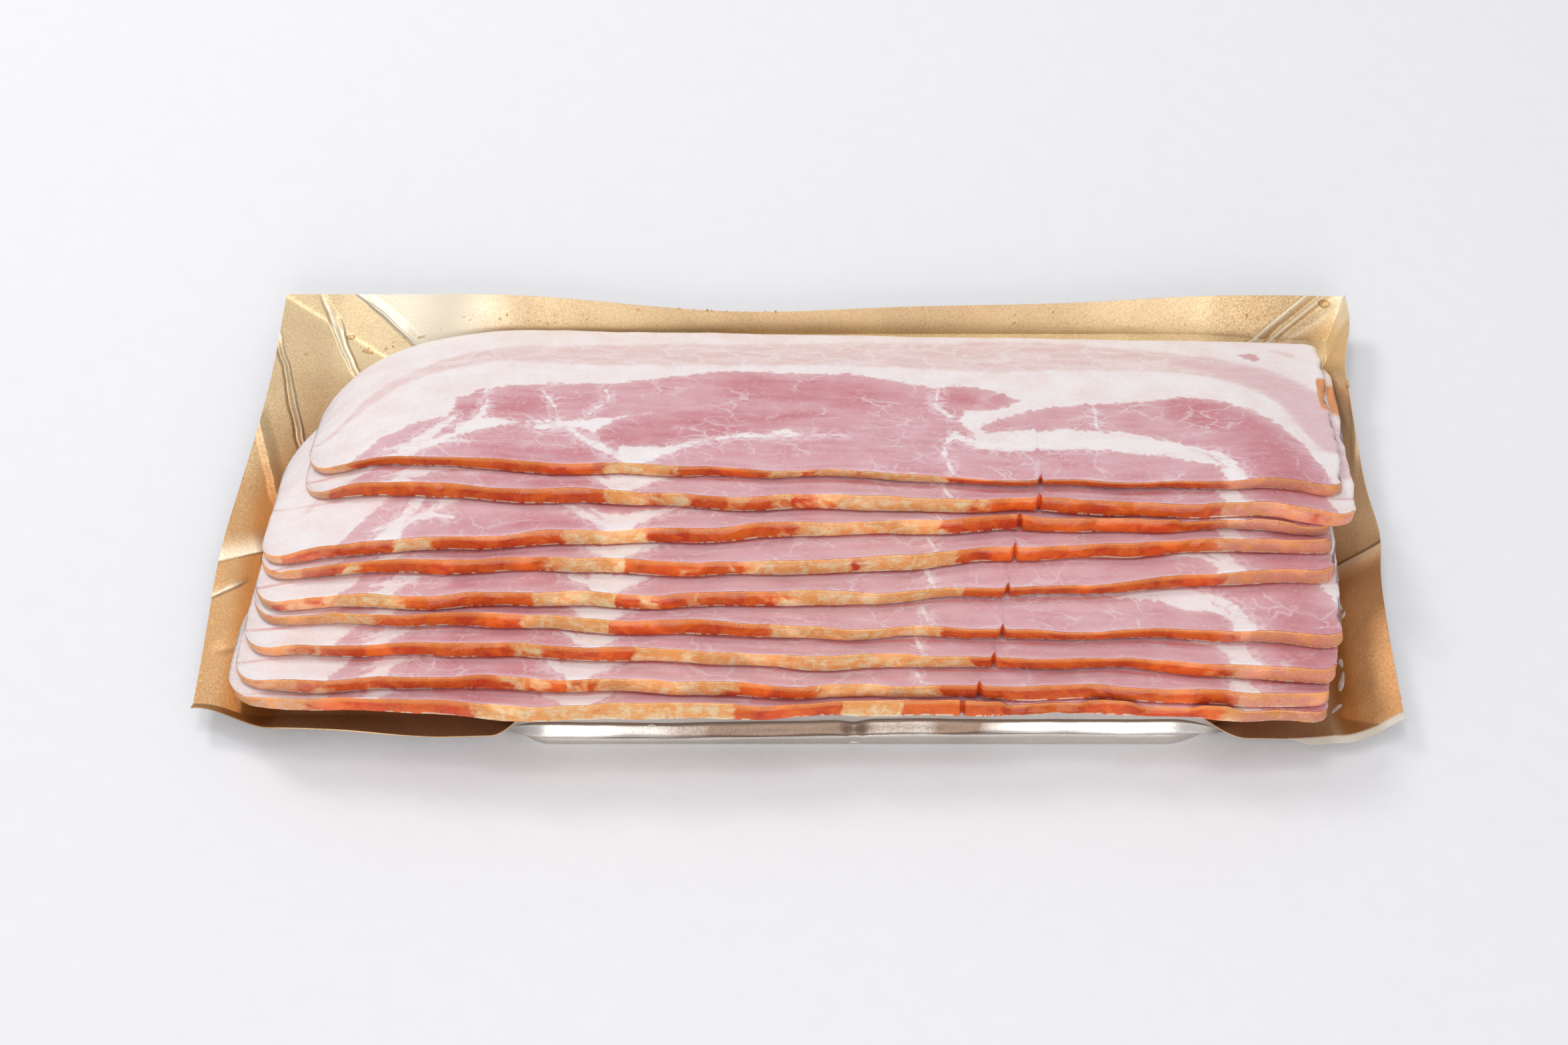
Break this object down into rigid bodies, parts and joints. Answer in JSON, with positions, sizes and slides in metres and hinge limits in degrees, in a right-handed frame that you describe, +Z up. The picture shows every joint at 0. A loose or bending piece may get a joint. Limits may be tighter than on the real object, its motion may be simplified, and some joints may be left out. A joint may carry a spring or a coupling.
{
  "type": "opened pack of streaky bacon",
  "caption": "Opened pack of smoked streaky bacon: rashers shingled across a thin formed foil tray, gold inside and silver outside, lid film peeled off.",
  "frame": {"origin": "middle of the tray's footprint on the surface it stands on", "axes": "+X along the rashers to the right, -Y towards the front where the rashers step down, +Z up"},
  "size_m": [0.2604, 0.1217, 0.0273],
  "materials": {
    "foil": "satin gold lacquer inside, champagne silver outside",
    "bacon": "wet cut meat and fat, orange smoked edge"
  },
  "bodies": {
    "root": {"foil_tray": "foil", "rasher_1": "bacon", "rasher_2": "bacon", "rasher_3": "bacon", "rasher_4": "bacon", "rasher_5": "bacon", "rasher_6": "bacon", "rasher_7": "bacon", "rasher_8": "bacon", "rasher_9": "bacon"}
  },
  "joints": []
}
